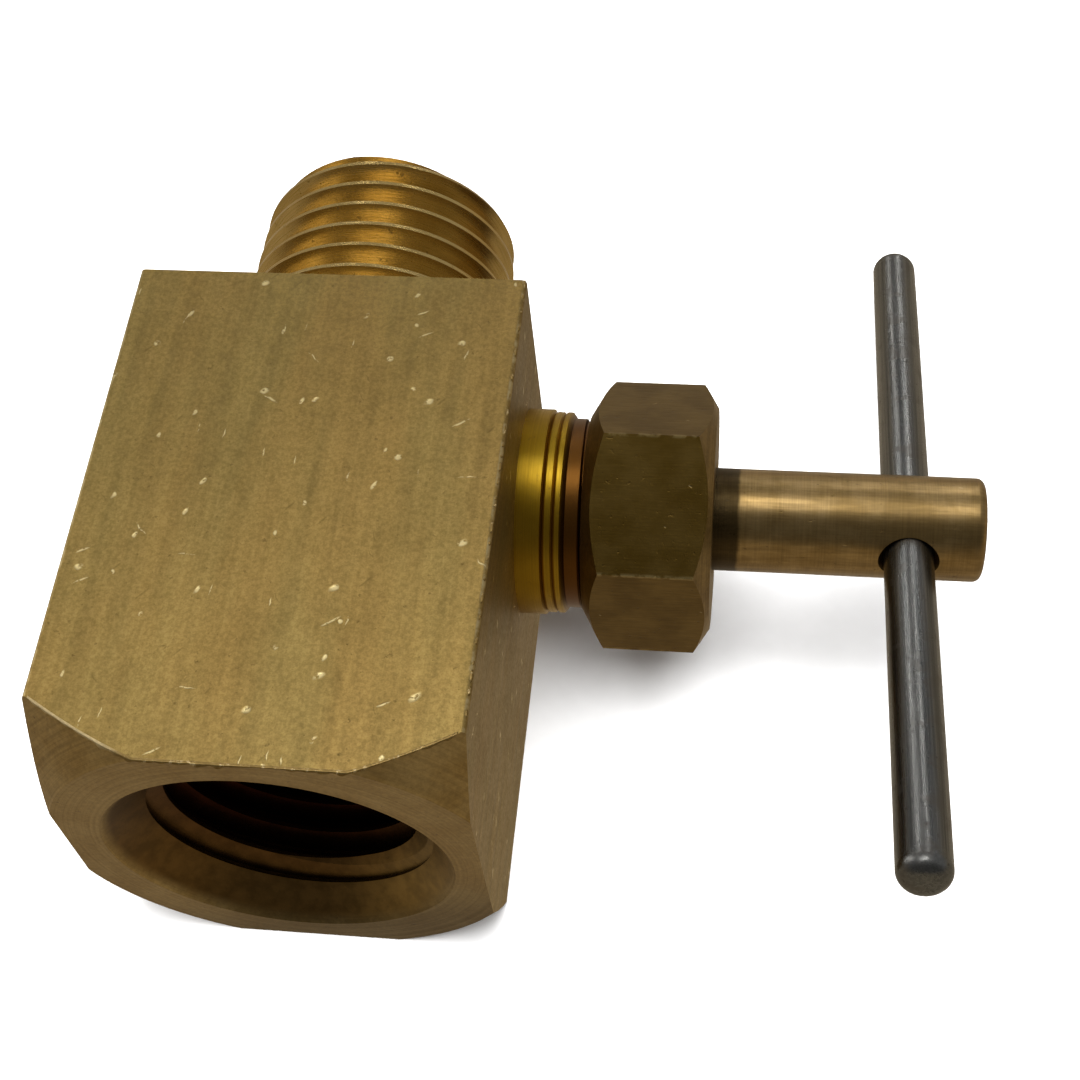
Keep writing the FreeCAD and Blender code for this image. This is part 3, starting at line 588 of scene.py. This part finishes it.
def floor_finish():
    """A pale matt floor."""
    shader = Shader("floor_pale")
    cloud = shader.noise(0.004, 3)
    grain = shader.noise(0.8, 2)
    colour = shader.mix(cloud, (0.90, 0.90, 0.90), (0.93, 0.93, 0.93))
    colour = shader.shade(colour, shader.between(grain, 0.3, 0.7, 0.99, 1.01))
    return shader.done(Finish(colour, 0.9, shader.times(grain, 0.002)), metallic=0.0)


def paint(finish, *names):
    """Gives CAD nodes a finish in place of their plain one."""
    for name in names:
        slots = nodes[name].data.materials
        slots.clear()
        slots.append(finish)


# ---------------------------------------------------------------- burrs


def ragged(at, seed, period):
    """A value from 0 to 1 that wanders along a length in millimetres."""
    return min(1.0, max(0.0, 0.5 + 0.9 * noise.noise(Vector((at / period, seed, 0.37 * seed)))))


def front_edge(x):
    """The line where the bar's top meets the turned front, in millimetres."""
    top = body_high.z
    away = math.hypot(x - CONE_X, top - CONE_Z)
    return Vector((x, max(0.0, (away - CONE_RADIUS) * math.tan(CONE_ANGLE)), top))


def add_piece(name, work, finish):
    """A smooth-shaded piece of the body made from a bmesh, which is then freed."""
    mesh = bpy.data.meshes.new(name)
    bmesh.ops.recalc_face_normals(work, faces=work.faces)
    work.to_mesh(mesh)
    work.free()
    for face in mesh.polygons:
        face.use_smooth = True
    piece = bpy.data.objects.new(name, mesh)
    bpy.context.scene.collection.objects.link(piece)
    mesh.materials.append(finish)
    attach(piece, "valve")


def loft(work, rings):
    """A closed skin through rings of points in millimetres."""
    rings = [[work.verts.new(point * MM) for point in ring] for ring in rings]
    for ring, following in zip(rings, rings[1:]):
        for index, vertex in enumerate(ring):
            after = (index + 1) % len(ring)
            work.faces.new((vertex, ring[after], following[after], following[index]))
    work.faces.new(list(reversed(rings[0])))
    work.faces.new(rings[-1])


def front_burr(finish):
    """The lathe tool pushed a scalloped burr over the front edge of the top face."""
    step, margin, fade_steps = 0.06, 0.3, 6
    left, right = body_low.x + margin, body_high.x - margin
    count = int((right - left) / step)
    down = Vector((0, -1.0, -0.45)).normalized()
    rings = []
    for index in range(count + 1):
        x = left + (right - left) * index / count
        point = front_edge(x)
        out = Vector((point.x - CONE_X, 0, point.z - CONE_Z)).normalized()
        tooth = ragged(x, 3.0, 0.42) * ragged(x, 9.0, 1.9)
        fade = min(1.0, index / fade_steps, (count - index) / fade_steps)
        hang = (0.02 + 0.17 * tooth) * fade
        rise = (0.004 + 0.018 * ragged(x, 5.0, 0.8)) * fade
        section = (
            Vector((0, 0.16, -0.04)),
            Vector((0, 0.10, 0.003 * fade)),
            Vector((0, 0.01, rise)),
            down * hang + Vector((0, 0, rise * 0.4)),
            down * hang * 0.8 + Vector((0, 0, -0.035)),
            -out * 0.10 + Vector((0, 0.04, 0)),
        )
        rings.append([point + offset for offset in section])
    work = bmesh.new()
    loft(work, rings)
    add_piece("front_burr", work, finish)


def side_burr(finish):
    """The saw left small separate beads along the top edge above the stem."""
    corner = Vector((body_high.x - EDGE_INSET, 0, body_high.z - EDGE_INSET))
    start, end = front_edge(body_high.x).y + 0.6, BLOCK_END - 0.4
    work = bmesh.new()
    y = start
    while y < end:
        length = random.uniform(0.12, 0.60)
        size = random.uniform(0.02, 0.065)
        rings = []
        for share in (0.0, 0.2, 0.5, 0.8, 1.0):
            swell = math.sin(math.pi * (0.06 + 0.88 * share)) * size
            wobble = random.uniform(-0.01, 0.01)
            centre = corner + Vector((wobble, y + length * share, -wobble))
            rings.append([
                centre + Vector((-0.06 - swell, 0, 0.01)),
                centre + Vector((-0.02, 0, 0.02 + swell)),
                centre + Vector((0.02 + swell, 0, 0.02)),
                centre + Vector((0.01, 0, -0.06 - swell)),
                centre + Vector((-0.06, 0, -0.06)),
            ])
        loft(work, rings)
        y += length + random.uniform(0.15, 1.1)
    add_piece("side_burr", work, finish)


# ---------------------------------------------------------------- floor and light


def add_floor(finish):
    """A pale floor that the body rests on."""
    half = FLOOR_HALF
    mesh = bpy.data.meshes.new("floor")
    corners = [(-half, -half, 0), (half, -half, 0), (half, half, 0), (-half, half, 0)]
    mesh.from_pydata(corners, [], [(0, 1, 2, 3)])
    mesh.materials.append(finish)
    floor = bpy.data.objects.new("floor", mesh)
    floor.location.z = body_low.z * MM
    bpy.context.scene.collection.objects.link(floor)
    floor.visible_glossy = False


def add_softbox(name, direction, distance, size, power):
    """A rectangular light that faces the valve from a direction. Lengths in millimetres."""
    data = bpy.data.lights.new(name, "AREA")
    data.shape = "RECTANGLE"
    data.size, data.size_y = size[0] * MM, size[1] * MM
    data.energy = power
    light = bpy.data.objects.new(name, data)
    bpy.context.scene.collection.objects.link(light)
    way = Vector(direction).normalized()
    light.location = (AIM + way * distance) * MM
    light.rotation_euler = way.to_track_quat("Z", "Y").to_euler()
    return light


def add_surround():
    """A room that is pale behind and overhead, dim above the front, and warm below."""
    world = bpy.data.worlds.new("studio")
    world.use_nodes = True
    tree = world.node_tree
    coordinates = tree.nodes.new("ShaderNodeTexCoord")
    parts = tree.nodes.new("ShaderNodeSeparateXYZ")
    tree.links.new(coordinates.outputs["Generated"], parts.inputs[0])

    def blend(source, low, high, under, over):
        """One colour or socket below low and the other above high."""
        fade = tree.nodes.new("ShaderNodeMapRange")
        fade.interpolation_type = "SMOOTHSTEP"
        fade.inputs["From Min"].default_value = low
        fade.inputs["From Max"].default_value = high
        tree.links.new(source, fade.inputs["Value"])
        node = tree.nodes.new("ShaderNodeMix")
        node.data_type = "RGBA"
        factor, first, second = (node.inputs[number] for number in MIX_COLOUR_INPUTS)
        tree.links.new(fade.outputs["Result"], factor)
        for item, socket in ((under, first), (over, second)):
            if isinstance(item, bpy.types.NodeSocket):
                tree.links.new(item, socket)
            else:
                socket.default_value = item
        return node.outputs[MIX_COLOUR_OUTPUT]

    above = blend(parts.outputs[1], -0.55, 0.20, ABOVE_FRONT, ABOVE_BACK)
    colour = blend(parts.outputs[2], -0.05, 0.35, BELOW, above)
    tree.links.new(colour, tree.nodes["Background"].inputs["Color"])
    bpy.context.scene.world = world


def add_lights():
    """Soft boxes overhead and left, two low strips behind, and a wash that only the floor takes."""
    add_softbox("overhead", (-0.06, 0.16, 1.0), distance=380, size=(200, 120), power=0.34)
    add_softbox("left", (-1.0, 0.35, 0.5), distance=420, size=(160, 260), power=0.30)
    for name, angle in (("strip_right", 13.0), ("strip_left", -18.0)):
        away = math.radians(angle)
        direction = (math.sin(away), math.cos(away), 0.42)
        add_softbox(name, direction, distance=420, size=(12, 190), power=0.10)
    overhead = (0.0, 0.0, 1.0)
    wash = add_softbox("floor_wash", overhead, distance=1500, size=(1500, 1500), power=64.0)
    wash.visible_glossy = False


# ---------------------------------------------------------------- the scene

random.seed(11)
bpy.context.scene.view_settings.view_transform = "Standard"
add_camera()
add_surround()
add_lights()
add_floor(floor_finish())

paint(neck_finish(), "bonnet", "gland_follower", "backing_washer")
paint(body_finish(), "valve_body")
paint(nut_finish(), "packing_nut")
paint(stem_finish(), "stem")
paint(bar_finish(), "t_bar")
paint(needle_finish(), "needle_tip")
paint(copper_finish(), "bonnet_seal")
paint(packing_finish(), "packing_ring_lower", "packing_ring_middle", "packing_ring_upper")
torn = burr_finish()
front_burr(torn)
side_burr(torn)
